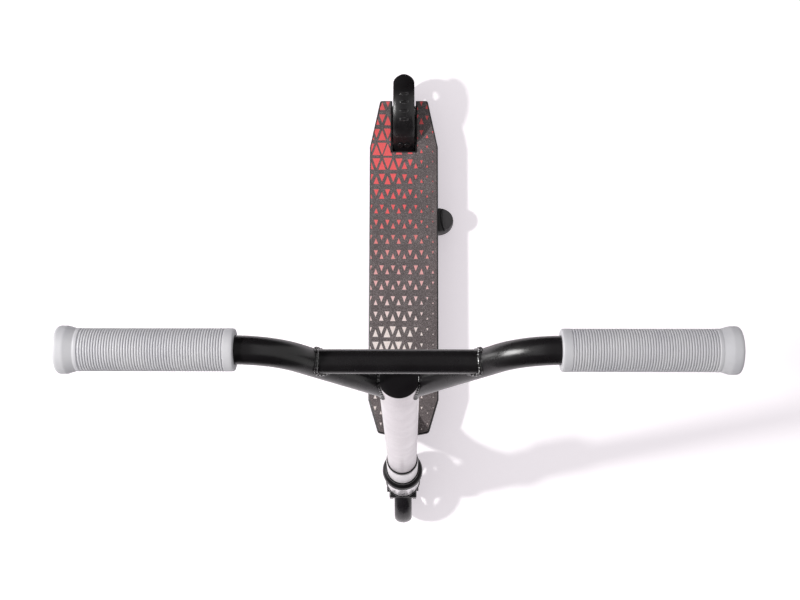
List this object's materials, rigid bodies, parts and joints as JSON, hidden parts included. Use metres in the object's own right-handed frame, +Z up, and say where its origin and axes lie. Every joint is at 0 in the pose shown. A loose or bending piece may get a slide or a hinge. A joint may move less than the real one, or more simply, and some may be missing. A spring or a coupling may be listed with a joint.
{
  "type": "stunt scooter",
  "caption": "Two-wheeled kick scooter with a flat boxed deck, a fixed downtube, wing handlebar with crossbar, rubber grips, a sprung fender brake and a folding side stand.",
  "frame": {"origin": "middle of the overall footprint on the floor", "axes": "+Z up, -Y the way the scooter faces, +X towards its left side"},
  "size_m": [0.5134, 0.6582, 0.8439],
  "materials": {
    "deck_paint": "black satin coat on aluminium",
    "black_steel": "black gloss coat on steel tube",
    "grey_steel": "light grey satin coat on steel tube",
    "grey_aluminium": "light grey satin coat on aluminium",
    "silver": "polished",
    "black_hardware": "black oxide",
    "steel": "bright zinc",
    "tape": "gritty grip tape, dark grey with a printed triangle pattern",
    "tyre": "smooth cast urethane",
    "core": "black spoked core",
    "black_plastic": "black moulded",
    "black_rubber": "matt rubber",
    "grip": "light grey ribbed rubber"
  },
  "bodies": {
    "frame": {"deck": "deck_paint", "grip_tape": "tape", "neck": "deck_paint", "head_tube": "silver", "upper_cup": "black_hardware", "lower_cup": "black_hardware", "upper_bearing": "steel", "lower_bearing": "steel", "rear_axle_bolt": "black_hardware", "rear_axle_nut": "black_hardware", "rear_spacer_left": "steel", "rear_spacer_right": "steel", "brake_bracket": "steel", "brake_foot": "black_steel", "brake_screw_left": "steel", "brake_screw_right": "steel", "stand_bracket": "black_hardware", "stand_screw_front": "steel", "stand_screw_rear": "steel", "stand_pivot": "steel"},
    "steering": {"fork": "deck_paint", "crown_race": "black_hardware", "headset_cover": "black_plastic", "steerer_spacer": "black_hardware", "clamp": "grey_aluminium", "clamp_bolt_1": "black_hardware", "clamp_bolt_2": "black_hardware", "clamp_bolt_3": "black_hardware", "clamp_ring": "black_plastic", "steerer_shim": "steel", "star_nut": "steel", "compression_cap": "steel", "compression_bolt": "steel", "downtube": "grey_steel", "downtube_cap": "black_plastic", "left_wing": "black_steel", "right_wing": "black_steel", "crossbar": "black_steel", "left_grip": "grip", "right_grip": "grip", "left_bar_plug": "black_plastic", "right_bar_plug": "black_plastic", "front_axle_bolt": "black_hardware", "front_axle_nut": "black_hardware", "front_spacer_left": "steel", "front_spacer_right": "steel"},
    "front_wheel": {"front_tyre": "tyre", "front_core": "core", "front_bearing_left": "steel", "front_bearing_right": "steel", "front_bearing_sleeve": "steel"},
    "rear_wheel": {"rear_tyre": "tyre", "rear_core": "core", "rear_bearing_left": "steel", "rear_bearing_right": "steel", "rear_bearing_sleeve": "steel"},
    "brake": {"brake_fender": "black_steel"},
    "side_stand": {"stand_leg": "black_hardware", "stand_foot": "black_rubber"}
  },
  "joints": [
    {"name": "steering_turn", "type": "hinge", "parent": "frame", "child": "steering", "pos_m": [0, -0.2791, 0.05], "axis": [0, 0.1478, 0.989], "continuous": true},
    {"name": "front_wheel_spin", "type": "hinge", "parent": "steering", "child": "front_wheel", "pos_m": [0, -0.2791, 0.05], "axis": [1, 0, 0], "continuous": true},
    {"name": "rear_wheel_spin", "type": "hinge", "parent": "frame", "child": "rear_wheel", "pos_m": [0, 0.2791, 0.05], "axis": [1, 0, 0], "continuous": true},
    {"name": "brake_press", "type": "hinge", "parent": "frame", "child": "brake", "pos_m": [0, 0.23017, 0.07825], "axis": [-1, 0, 0], "range_deg": [0, 4.5], "stiffness_Nm_per_rad": 30},
    {"name": "stand_swing", "type": "hinge", "parent": "frame", "child": "side_stand", "pos_m": [0, 0.111, 0.0245], "axis": [0, 1, 0], "range_deg": [0, 15]}
  ]
}
